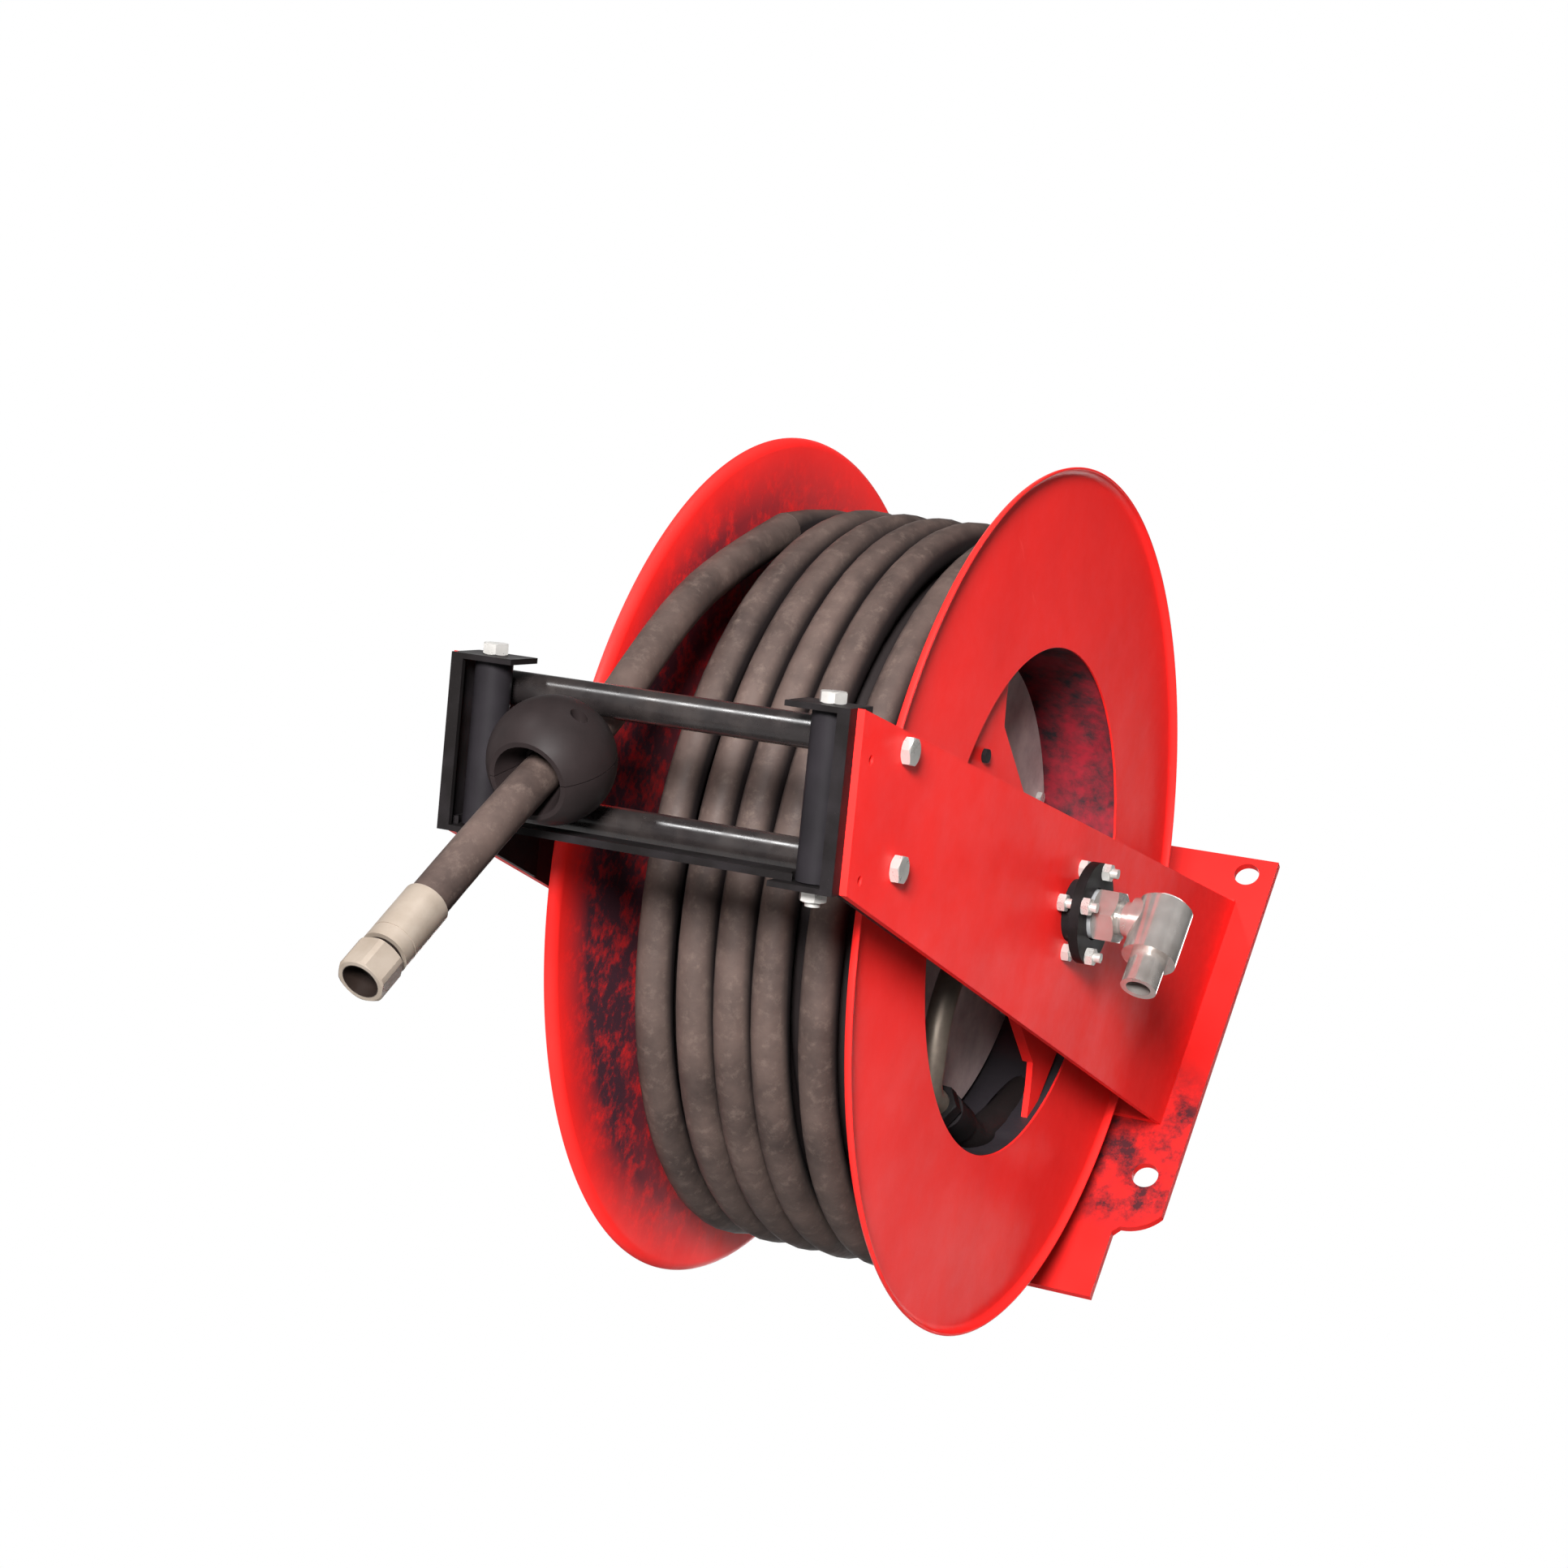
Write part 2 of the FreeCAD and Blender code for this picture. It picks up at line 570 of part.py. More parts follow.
def outlet_pipe():
    """Pipe from the shaft's port out to the hose's inner end."""
    foot, along = tail_frame()
    route = [polar(SHAFT_R - 0.5, PORT_ANGLE, PORT_X), polar(PORT_REACH, PORT_ANGLE, PORT_X), foot,
             foot + along * TAIL_START]
    body = round_tube(route, PIPE_R, "outlet_pipe")
    return body.cut([round_tube(route, PIPE_BORE, "its bore"), cyl(45, 80, SHAFT_R)])


def outlet_ferrule():
    """Hex union and crimped ferrule on the hose's inner end."""
    foot, along = tail_frame()
    base = foot + along * TAIL_START
    body = chamfered_hex(base, along, 22.0, 12)
    body = body.fuse([rod(base + along * 12, base + along * 15, 9.0),
                      rod(base + along * 15, base + along * UNION_L, HOSE_D / 2 + 1.2)])
    return body.cut(rod(base - along, base + along * (UNION_L - 4), PIPE_BORE))


def hose_tail():
    """The hose's inner end, from its ferrule to the slot in the core."""
    foot, along = tail_frame()
    tail = rod(foot + along * (TAIL_START + UNION_L), foot + along * 130, HOSE_D / 2)
    return tail.common(cyl(0, 100, CORE_R - 0.1))


# ---- left side: arbor, flange, pawl ---------------------------------------------------------------
def spring_arbor():
    """Fixed axle: held in the left arm, slotted for the spring's inner end."""
    body = revolve([(-134, 0), (-134, 10), (-124, 10), (-124, ARBOR_R), (20, ARBOR_R), (20, 0)])
    return body.cut(box(CASE_X[0] + 12, 21, -1.5, 1.5, -20, 2))


def arbor_flange():
    """Flange bolted to the left arm that holds the arbor."""
    seat = -ARM_FACE - 5
    body = revolve([(-128, ARBOR_R), (-128, 20), (seat, 20), (seat, FLANGE_R), (-ARM_FACE, FLANGE_R),
                    (-ARM_FACE, HOUSING_R), (-111, HOUSING_R), (-111, ARBOR_R)])
    return body.cut([mirrored(hole) for hole in stud_holes()])


def arbor_fixings():
    """Bolts and nuts of the arbor flange, and the arbor's own end nut."""
    pieces = []
    for angle in STUD_ANGLES:
        centre = polar(STUD_PCD_R, angle)
        pieces.append(bolt(V(-124, centre.y, centre.z), V(-1, 0, 0), STUD_R, 16, 10.0, 4.0))
        pieces.append(nut(V(-115, centre.y, centre.z), V(1, 0, 0), STUD_R, 10.0, 4.5))
    end_nut = nut(V(-128, 0, 0), V(-1, 0, 0), 10.0, 30.0, 9.0)
    return pieces, end_nut


def pawl():
    """Bar that drops between the ratchet's teeth; drawn resting clear of them."""
    y, z = PAWL_PIVOT.y, PAWL_PIVOT.z
    boss = cyl(RATCHET_X[0] - 0.5, RATCHET_X[1] + 0.5, 9.0, y, z)
    finger = Part.makePolygon([V(RATCHET_X[0], a, b) for a, b in
                               ((0, -7), (PAWL_LENGTH - 9, -5), (PAWL_LENGTH, -3.5),
                                (PAWL_LENGTH, 0.5), (PAWL_LENGTH - 8, 5), (0, 7), (0, -7))])
    finger = Part.Face(finger).extrude(V(RATCHET_X[1] - RATCHET_X[0], 0, 0))
    tail = box(RATCHET_X[0], RATCHET_X[1], -22, 0, -4, 4)
    finger = finger.fuse(tail)
    finger.rotate(V(0, 0, 0), V(1, 0, 0), ARM_ANGLE + PAWL_LEAN)
    finger.translate(V(0, y, z))
    return boss.fuse(finger).removeSplitter().cut(cyl(-110, -90, PAWL_PIN_R + RUN_FIT, y, z))


def pawl_pin():
    y, z = PAWL_PIVOT.y, PAWL_PIVOT.z
    body = cyl(-119, RATCHET_X[1] + 1.2, PAWL_PIN_R, y, z)
    collar = cyl(-115, -112, 8.0, y, z)
    clip = tube(RATCHET_X[1] + 0.7 + 0.2, RATCHET_X[1] + 1.2, 6.5, PAWL_PIN_R, y, z)
    outside = chamfered_hex(V(-119, y, z), V(-1, 0, 0), 16.0, 6.0)
    return body.fuse([collar, clip, outside]).removeSplitter()


def pawl_spring():
    """Torsion spring round the pawl's pin: three close turns and a leg."""
    y, z = PAWL_PIVOT.y, PAWL_PIVOT.z
    turns = [tube(x, x + 1.2, 7.2, PAWL_PIN_R + 0.6, y, z) for x in (-111.4, -110.2, -109.0)]
    leg = cyl(-109.0, -107.8, 0.9, y, z + 6.2)
    stem = rod(V(-110.4, y, z + 6.3), V(-110.4, y + 14, z + 6.3), 0.6)
    return turns[0].fuse(turns[1:] + [leg, stem]).removeSplitter()


# ---- hose guide -----------------------------------------------------------------------------------
BRACKET_T = 3.0
BRACKET_BACK = -96.0
BRACKET_FRONT = 9.0
EAR_REACH = 36.0
LIP_REACH = 7.0
EAR_BACK = -18.5


def guide_bracket():
    """Right bracket: a web along the arm's inner face, ears for the rollers and a front lip."""
    x1 = ARM_INNER
    x0 = x1 - BRACKET_T
    against_arm = head_plate([(BRACKET_BACK, -90), (5, -90), (5, 90), (BRACKET_BACK, 90)], x0, x1)
    web = plate(ARM_OUTLINE, x0, x1).common(against_arm)
    front = head_plate([(EAR_BACK, -HEAD_HALF), (BRACKET_FRONT, -HEAD_HALF),
                        (BRACKET_FRONT, HEAD_HALF), (EAR_BACK, HEAD_HALF)], x0, x1)
    ears = []
    for side in (-1, 1):
        f0, f1 = sorted((side * HEAD_HALF, side * (HEAD_HALF - BRACKET_T)))
        ears.append(head_plate([(EAR_BACK, f0), (BRACKET_FRONT, f0), (BRACKET_FRONT, f1),
                                (EAR_BACK, f1)], x1 - EAR_REACH, x1))
    lip_back = BRACKET_FRONT - BRACKET_T
    lip = head_plate([(lip_back, -HEAD_HALF), (BRACKET_FRONT, -HEAD_HALF),
                      (BRACKET_FRONT, HEAD_HALF), (lip_back, HEAD_HALF)], x1 - LIP_REACH, x1)
    body = web.fuse([front, lip] + ears).removeSplitter()
    cuts = [across_guide(g, f, GUIDE_BOLT_R + 0.2) for g, f in GUIDE_BOLTS]
    cuts += [across_guide(g, f, AXLE_R) for g, f, _ in (TOP_ROLLER, BOTTOM_ROLLER)]
    x, g, _ = SIDE_ROLLER
    cuts.append(rod(head(g, -60, x), head(g, 60, x), AXLE_R))
    return body.cut(cuts)


def guide_bolts():
    """Bolts that clamp the brackets inside the arms, with their nuts."""
    bolts, nuts = [], []
    for side in (1, -1):
        for g, f in GUIDE_BOLTS:
            bolts.append(bolt(head(g, f, side * ARM_FACE), V(side, 0, 0), GUIDE_BOLT_R, 16, 14.0, 5.3))
            inside = head(g, f, side * (ARM_INNER - BRACKET_T))
            nuts.append(nut(inside, V(-side, 0, 0), GUIDE_BOLT_R, 13.0, 6.5))
    return bolts, nuts


def side_axles():
    """Long bolts that the side rollers turn on, and their nuts underneath."""
    bolts, nuts = [], []
    x, g, _ = SIDE_ROLLER
    up = head(0, 1) - head(0, 0)
    for side in (1, -1):
        bolts.append(bolt(head(g, HEAD_HALF, side * x), up, AXLE_R, 2 * HEAD_HALF + 9, 13.0, 6.0))
        nuts.append(nut(head(g, -HEAD_HALF, side * x), V(0, 0, 0) - up, AXLE_R, 13.0, 6.5))
    return bolts, nuts


def cross_axles():
    """Rods across the guide for the top and bottom rollers."""
    return [rod(head(g, f, -ARM_INNER), head(g, f, ARM_INNER), AXLE_R)
            for g, f, _ in (TOP_ROLLER, BOTTOM_ROLLER)]


def side_roller(side):
    x, g, radius = SIDE_ROLLER
    reach = HEAD_HALF - BRACKET_T - 0.6
    low, high = head(g, -reach, side * x), head(g, reach, side * x)
    return rod(low, high, radius).cut(rod(low, high, AXLE_R + RUN_FIT))


def cross_roller(station):
    g, f, radius = station
    reach = ARM_INNER - BRACKET_T - 0.6
    left, right = head(g, f, -reach), head(g, f, reach)
    return rod(left, right, radius).cut(rod(left, right, AXLE_R + RUN_FIT))


def guide_tie_bar():
    """Flat bar that ties the two brackets together under the bottom roller."""
    reach = ARM_INNER - BRACKET_T
    x, g, radius = SIDE_ROLLER
    rollers = [rod(head(g, -60, side * x), head(g, 60, side * x), radius + 2) for side in (1, -1)]
    return head_plate([(-15, -44), (1, -44), (1, -40), (-15, -40)], -reach, reach).cut(rollers)


# ---- hose end -------------------------------------------------------------------------------------
SCREW_OFFSET = 19.0           # the ball's screws, either side of the hose
SCREW_SEAT = 18.0             # height of their heads' seats over the ball's middle
BALL_FRONT = 26.0             # flats in front of the ball's centre and behind it
BALL_BACK = 31.0
BALL_MOUTH_R = 20.0           # open end of the cone round the hose
BALL_CUP = 6.0                # where the cone starts


def ball_axis():
    """Direction of the hose where the ball sits."""
    before = (LEAD[BALL_POINT] - LEAD[BALL_POINT - 1]).normalize()
    after = (LEAD[BALL_POINT + 1] - LEAD[BALL_POINT]).normalize()
    return (before + after).normalize()


def ball_halves(lead):
    """Ball stop in two halves, flattened in front, with a cone round the hose and a screw pocket."""
    centre = LEAD[BALL_POINT]
    axis = ball_axis()
    across = V(1, 0, 0) - axis * axis.x
    across.normalize()
    up = axis.cross(across)
    if up.z < 0:
        up = up * -1
    ball = Part.makeSphere(BALL_R, centre)
    front = Part.makeCylinder(60, 30, centre + axis * BALL_FRONT, axis)
    back = Part.makeCylinder(60, 30, centre - axis * BALL_BACK, axis * -1)
    cone = Part.makeCone(HOSE_D / 2 + 1, BALL_MOUTH_R, BALL_FRONT - BALL_CUP + 2,
                         centre + axis * BALL_CUP, axis)
    ball = ball.cut([front, back, cone, lead])
    seats = [centre + across * (SCREW_OFFSET * side) + up * SCREW_SEAT for side in (1, -1)]
    ball = ball.cut([Part.makeCylinder(4.2, 20, seat, up) for seat in seats])
    size = 100.0
    halves = []
    for sign in (1, -1):
        slab = Part.makeBox(size, size, size, V(-size / 2, -size / 2, 0.25))
        slab.Placement = FreeCAD.Placement(centre, FreeCAD.Rotation(V(0, 0, 1), up * sign))
        halves.append(ball.common(slab))
    screws = [bolt(seat, up, 2.5, 30, 6.5, 3.5) for seat in seats]
    holes = [Part.makeCylinder(2.5, 34, seat - up * 31, up) for seat in seats]
    return [half.cut(holes) for half in halves], screws


def end_axis():
    return (LEAD[-1] - LEAD[-2]).normalize()


FERRULE_L = 41.5
END_NUT_L = 18.5
STEM_R = 8.0
STEM_HEAD_R = 9.2
COLLAR_T = 2.9                # the nut's inner end, behind the stem's head


def hose_ferrule():
    """Crimped ferrule on the hose's free end, with the stem that the swivel nut turns on."""
    start, axis = LEAD[-1], end_axis()
    body = rod(start, start + axis * (FERRULE_L - 3), 12.4)
    stem = rod(start + axis * (FERRULE_L - 4), start + axis * (FERRULE_L + 4), STEM_R)
    stem_head = rod(start + axis * (FERRULE_L + 3.3), start + axis * (FERRULE_L + 6.5), STEM_HEAD_R)
    edge = rod(start + axis * 30, start + axis * 31.2, 14.0)
    edge = edge.cut(rod(start + axis * 29, start + axis * 32, 12.0))
    water = rod(start + axis * 5, start + axis * (FERRULE_L + 12), 5.5)
    return body.fuse([stem, stem_head]).cut([edge, water])


def hose_end_nut():
    """Swivel nut: the free end of the hose, open to its thread."""
    start, axis = LEAD[-1] + end_axis() * FERRULE_L, end_axis()
    turned = rod(start, start + axis * END_NUT_L, NUT_R)
    body = chamfered_hex(start, axis, NUT_AF, END_NUT_L).common(turned)
    collar = rod(start - axis, start + axis * COLLAR_T, STEM_R + RUN_FIT)
    room = rod(start + axis * (COLLAR_T - 0.1), start + axis * 7.5, STEM_HEAD_R + RUN_FIT)
    thread = rod(start + axis * 7.2, start + axis * (END_NUT_L + 1), THREAD_R)
    return body.cut([collar, room, thread])


# ---- build ----------------------------------------------------------------------------------------
def winding():
    """Outer shape of the wound hose: three layers, each stopping further from the far disc."""
    points = [(LAYER_NEAR_END, CORE_R), (LAYER_NEAR_END, LAYER_TOPS[2])]
    for top, far in zip(reversed(LAYER_TOPS), reversed(LAYER_FAR_ENDS)):
        points += [(far, top), (far, top - HOSE_D)]
    points[-1] = (LAYER_FAR_ENDS[0], CORE_R)
    return revolve(points)


def main():
    save("base_plate", [base_plate()])
    save("arm_right", [arm()])
    pin_hole = cyl(-130, -100, PAWL_PIN_R, PAWL_PIVOT.y, PAWL_PIVOT.z)
    save("arm_left", [mirrored(arm()).cut(pin_hole)])
    studs, nuts = foot_fixings()
    save("foot_studs", studs)
    save("foot_nuts", nuts)

    save("bearing_housing", [bearing_housing()])
    save("shaft_bush", [tube(HOUSING_X, GLAND_X[0], BUSH_R, SHAFT_R + RUN_FIT)])
    save("gland_plate", [gland_plate()])
    studs, nuts = gland_fixings()
    save("gland_studs", studs)
    save("gland_nuts", nuts)
    save("inlet_elbow", [inlet_elbow()])

    save("disc_right", [disc()])
    save("disc_left", [mirrored(disc())])
    save("drum_core", [drum_core()])
    save("hub_bar_right", [hub_bar(SHAFT_R, SHAFT_BOLTS_R)])
    save("hub_bar_left", [mirrored(hub_bar(BOSS_R, LEFT_BOLTS_R))])
    save("bar_lugs_right", bar_lugs())
    save("bar_lugs_left", [mirrored(lug) for lug in bar_lugs()])
    save("bar_screws", bar_screws() + [mirrored(piece) for piece in bar_screws()])
    save("hollow_shaft", [hollow_shaft()])
    left_bolts = [mirrored(piece) for piece in hub_bolts(LEFT_BOLTS_R)]
    save("hub_bolts", hub_bolts(SHAFT_BOLTS_R) + left_bolts)
    save("swivel_adaptor", [swivel_adaptor()])
    save("left_hub", [left_hub()])
    bush = tube(-BOSS_END, BAR_T - BAR_FACE, ARBOR_R + 3.0, ARBOR_R + RUN_FIT)
    save("arbor_bush", [bush])
    save("ratchet_wheel", [ratchet_wheel()])
    save("spring_case", [spring_case()])
    save("case_blocks", case_blocks())
    save("spring_cover", [spring_cover()])
    save("cover_screws", cover_screws())
    save("outlet_pipe", [outlet_pipe()])
    save("outlet_ferrule", [outlet_ferrule()])
    save("hose_tail", [hose_tail()])
    save("hose_winding", [winding()])

    save("spring_arbor", [spring_arbor()])
    save("power_spring", [power_spring()])
    save("arbor_flange", [arbor_flange()])
    bolts, end_nut = arbor_fixings()
    save("arbor_flange_bolts", bolts)
    save("arbor_end_nut", [end_nut])
    save("pawl", [pawl()])
    save("pawl_pin", [pawl_pin()])
    save("pawl_spring", [pawl_spring()])

    save("guide_bracket_right", [guide_bracket()])
    save("guide_bracket_left", [mirrored(guide_bracket())])
    bolts, nuts = guide_bolts()
    save("guide_bolts", bolts)
    save("guide_nuts", nuts)
    bolts, nuts = side_axles()
    save("side_axle_bolts", bolts)
    save("side_axle_nuts", nuts)
    save("cross_axles", cross_axles())
    save("guide_tie_bar", [guide_tie_bar()])
    save("side_roller_right", [side_roller(1)])
    save("side_roller_left", [side_roller(-1)])
    save("top_roller", [cross_roller(TOP_ROLLER)])
    save("bottom_roller", [cross_roller(BOTTOM_ROLLER)])

    lead = round_tube(LEAD, HOSE_D / 2, "hose_lead")
    save("hose_lead", [lead])
    halves, screws = ball_halves(lead)
    save("ball_half_upper", [halves[0]])
    save("ball_half_lower", [halves[1]])
    save("ball_screws", screws)
    save("hose_ferrule", [hose_ferrule()])
    save("hose_end_nut", [hose_end_nut()])


main()
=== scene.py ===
"""Looks of the wall-mounted fire hose reel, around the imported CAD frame. Metres, +Z up."""
import json
import math
import random

import bpy
from mathutils import Matrix, Vector


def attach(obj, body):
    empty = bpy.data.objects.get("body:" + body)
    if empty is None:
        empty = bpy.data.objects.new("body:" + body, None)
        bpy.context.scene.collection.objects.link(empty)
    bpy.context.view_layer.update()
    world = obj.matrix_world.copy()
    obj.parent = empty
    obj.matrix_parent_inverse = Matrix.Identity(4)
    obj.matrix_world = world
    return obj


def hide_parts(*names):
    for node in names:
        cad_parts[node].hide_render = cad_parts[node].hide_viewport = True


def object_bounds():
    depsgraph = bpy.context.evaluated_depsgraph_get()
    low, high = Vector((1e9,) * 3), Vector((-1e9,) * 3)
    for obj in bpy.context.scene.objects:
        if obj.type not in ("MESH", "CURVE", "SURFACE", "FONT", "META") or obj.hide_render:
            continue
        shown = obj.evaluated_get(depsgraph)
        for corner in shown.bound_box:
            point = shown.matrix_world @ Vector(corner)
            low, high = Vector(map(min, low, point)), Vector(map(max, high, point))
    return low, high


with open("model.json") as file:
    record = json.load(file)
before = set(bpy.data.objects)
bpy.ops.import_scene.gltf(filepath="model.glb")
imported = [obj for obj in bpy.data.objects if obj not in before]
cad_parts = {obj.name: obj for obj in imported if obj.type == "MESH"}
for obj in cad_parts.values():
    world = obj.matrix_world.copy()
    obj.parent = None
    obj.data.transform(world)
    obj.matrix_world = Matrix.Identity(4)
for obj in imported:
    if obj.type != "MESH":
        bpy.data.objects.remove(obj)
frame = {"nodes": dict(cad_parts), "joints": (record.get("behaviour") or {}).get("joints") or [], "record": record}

cad_low, cad_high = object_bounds()
nodes = frame["nodes"]
MM = 0.001
X_AXIS = Vector((1, 0, 0))


def joint(name):
    """A joint of the record, by its name."""
    return next(j for j in frame["joints"] if j["name"] == name)


DRUM = Vector(joint("drum_spin")["pos_m"])    # middle of the drum, on its axis
HOSE_D = 0.022
# the hose's line from the winding to the ferrule, in mm from the middle of the drum
LEAD = [(-74.0, -172.5, 127.7), (-71.0, -213.6, 71.0), (-64.0, -259.0, -2.5),
        (-52.5, -298.0, -118.7), (-49.7, -328.4, -157.9), (-51.9, -351.9, -225.4),
        (-53.1, -367.4, -274.9)]
BEHIND = (-0.417, 0.770, 0.485)    # from the camera through the object


# ---- camera, lights, floor ------------------------------------------------------------------
EYE = Vector((0.688, -1.449, -0.856))    # the camera's place from the middle of the drum
SENSOR, LENS = 36.0, 67.08               # mm
FAR_CLIP = 60


def make_camera():
    """Stands low in front of the inlet's side and looks up, a little rolled."""
    right = Vector((0.898, 0.265, 0.352))
    up = Vector((-0.143, -0.582, 0.801))
    back = right.cross(up).normalized()
    up = back.cross(right).normalized()
    right.normalize()
    camera = bpy.data.objects.new("camera", bpy.data.cameras.new("camera"))
    bpy.context.scene.collection.objects.link(camera)
    turn = Matrix((right, up, back)).transposed().to_4x4()
    camera.matrix_world = Matrix.Translation(DRUM + EYE) @ turn
    camera.data.sensor_width = SENSOR
    camera.data.lens = LENS
    camera.data.clip_end = FAR_CLIP
    bpy.context.scene.camera = camera


WIDE = 180
# name, place from the middle of the drum, diameter, power, spread in degrees
LIGHTS = [("key", (0.80, -2.98, -0.90), 0.8, 60, 80),
          ("glint", (-1.22, -2.82, 0.93), 0.3, 40, WIDE),
          ("top", (0.5, -1.5, 2.4), 1.0, 12, WIDE),
          ("near_side", (3.0, -0.8, 1.2), 2.0, 1.5, WIDE),
          ("far_side", (-2.8, -1.0, 0.5), 2.2, 9, WIDE),
          ("rear", (-0.4, 3.0, 1.2), 2.4, 60, WIDE)]
FLOOR_SIZE = 60
FLOOR_DROP = 1.6                         # below the lowest point of the CAD


def area_light(name, offset, size, power, spread):
    """A round light that aims at the drum."""
    data = bpy.data.lights.new(name, "AREA")
    data.shape = "DISK"
    data.size = size
    data.energy = power
    data.spread = math.radians(spread)
    light = bpy.data.objects.new(name, data)
    bpy.context.scene.collection.objects.link(light)
    place = DRUM + Vector(offset)
    aim = (place - DRUM).to_track_quat("Z", "Y").to_matrix().to_4x4()
    light.matrix_world = Matrix.Translation(place) @ aim


def make_world():
    """A surround that is white behind the object, as a lit backdrop is, and dimmer in front."""
    world = bpy.data.worlds.new("studio")
    world.use_nodes = True
    tree = world.node_tree
    shade = tree.nodes["Background"]
    where = tree.nodes.new("ShaderNodeTexCoord").outputs["Generated"]
    facing = tree.nodes.new("ShaderNodeVectorMath")
    facing.operation = "DOT_PRODUCT"
    facing.inputs[1].default_value = BEHIND
    tree.links.new(where, facing.inputs[0])
    level = tree.nodes.new("ShaderNodeMapRange")
    level.interpolation_type = "SMOOTHSTEP"
    edge = {"From Min": 0.84, "From Max": 0.925, "To Min": 0.11, "To Max": 1.0}
    for socket, value in edge.items():
        level.inputs[socket].default_value = value
    tree.links.new(facing.outputs["Value"], level.inputs["Value"])
    tree.links.new(level.outputs["Result"], shade.inputs["Strength"])
    shade.inputs["Color"].default_value = (1.0, 1.0, 1.0, 1.0)
    bpy.context.scene.world = world


def make_studio():
    """Frontal key, softer light from above and the sides, and a pale floor."""
    for light in LIGHTS:
        area_light(*light)
    make_world()
    bpy.ops.mesh.primitive_plane_add(size=FLOOR_SIZE, location=(0, 0, cad_low.z - FLOOR_DROP))
    floor = bpy.context.object
    floor.name = "floor"
    floor.data.materials.append(plain_floor())
    bpy.context.scene.view_settings.view_transform = "Standard"


# ---- materials ------------------------------------------------------------------------------
class Look:
    """A Principled material and short ways to wire procedural detail into it."""

    def __init__(self, name, colour, rough, metal=0.0, **sockets):
        self.material = bpy.data.materials.new(name)
        self.material.use_nodes = True
        self.tree = self.material.node_tree
        self.shader = self.tree.nodes["Principled BSDF"]
        self.set("Base Color", (*colour, 1.0))
        self.set("Roughness", rough)
        self.set("Metallic", metal)
        for key, value in sockets.items():
            self.set(key.replace("_", " ").title().replace("Ior", "IOR"), value)
        self.where = self.node("ShaderNodeTexCoord").outputs["Object"]
        self.height = None

    def set(self, socket, value):
        """Plain value of one of the shader's inputs."""
        self.shader.inputs[socket].default_value = value

    def node(self, kind, **settings):
        """A new node with its settings."""
        made = self.tree.nodes.new(kind)
        for key, value in settings.items():
            setattr(made, key, value)
        return made

    def link(self, source, target):
        self.tree.links.new(source, target)

    def stretch(self, scale, turn=(0, 0, 0)):
        """Coordinates scaled and turned, for marks that run one way."""
        mapping = self.node("ShaderNodeMapping")
        mapping.inputs["Scale"].default_value = scale
        mapping.inputs["Rotation"].default_value = turn
        self.link(self.where, mapping.inputs["Vector"])
        return mapping.outputs["Vector"]

    def noise(self, scale, detail=3.0, rough=0.55, where=None):
        """Cloudy noise between 0 and 1."""
        made = self.node("ShaderNodeTexNoise")
        made.inputs["Scale"].default_value = scale
        made.inputs["Detail"].default_value = detail
        made.inputs["Roughness"].default_value = rough
        self.link(where or self.where, made.inputs["Vector"])
        return made.outputs["Fac"]

    def ramp(self, value, low, high, to_low=0.0, to_high=1.0):
        """Linear reading of a value, held at both ends."""
        made = self.node("ShaderNodeMapRange")
        made.inputs["From Min"].default_value = low
        made.inputs["From Max"].default_value = high
        made.inputs["To Min"].default_value = to_low
        made.inputs["To Max"].default_value = to_high
        self.link(value, made.inputs["Value"])
        return made.outputs["Result"]

    def off_line(self, point, axis):
        """Distance from a line through a point."""
        from_point = self.node("ShaderNodeVectorMath", operation="SUBTRACT")
        from_point.inputs[1].default_value = tuple(point)
        self.link(self.where, from_point.inputs[0])
        across = self.node("ShaderNodeVectorMath", operation="CROSS_PRODUCT")
        across.inputs[1].default_value = tuple(axis)
        self.link(from_point.outputs["Vector"], across.inputs[0])
        length = self.node("ShaderNodeVectorMath", operation="LENGTH")
        self.link(across.outputs["Vector"], length.inputs[0])
        return length.outputs["Value"]

    def facing(self, axis):
        """1 on faces that look along an axis, 0 on the others."""
        toward = self.node("ShaderNodeVectorMath", operation="DOT_PRODUCT")
        toward.inputs[1].default_value = axis
        self.link(self.node("ShaderNodeTexCoord").outputs["Normal"], toward.inputs[0])
        return self.ramp(toward.outputs["Value"], 0.4, 0.8)

    def times(self, first, *others):
        """Product of masks."""
        for other in others:
            both = self.node("ShaderNodeMath", operation="MULTIPLY")
            self.link(first, both.inputs[0])
            self.link(other, both.inputs[1])
            first = both.outputs[0]
        return first

    def tint(self, mask, first, second):
        """Base colour from first to second by mask; first may be a colour or a socket."""
        mix = self.node("ShaderNodeMix", data_type="RGBA")
        self.link(mask, mix.inputs["Factor"])
        for socket, value in ((mix.inputs[6], first), (mix.inputs[7], second)):
            if isinstance(value, tuple):
                socket.default_value = (*value, 1.0)
            else:
                self.link(value, socket)
        self.link(mix.outputs[2], self.shader.inputs["Base Color"])
        return mix.outputs[2]

    def rough(self, value):
        """Roughness from a mask."""
        self.link(value, self.shader.inputs["Roughness"])

    def bump(self, value, strength, distance):
        """Relief on top of the relief so far."""
        made = self.node("ShaderNodeBump")
        made.inputs["Strength"].default_value = strength
        made.inputs["Distance"].default_value = distance
        self.link(value, made.inputs["Height"])
        if self.height is not None:
            self.link(self.height, made.inputs["Normal"])
        self.height = made.outputs["Normal"]
        self.link(self.height, self.shader.inputs["Normal"])


RED, DEEP_RED = (0.84, 0.019, 0.016), (0.74, 0.015, 0.013)
PAPER, PAPER_DIM = (0.93, 0.93, 0.93), (0.90, 0.90, 0.90)


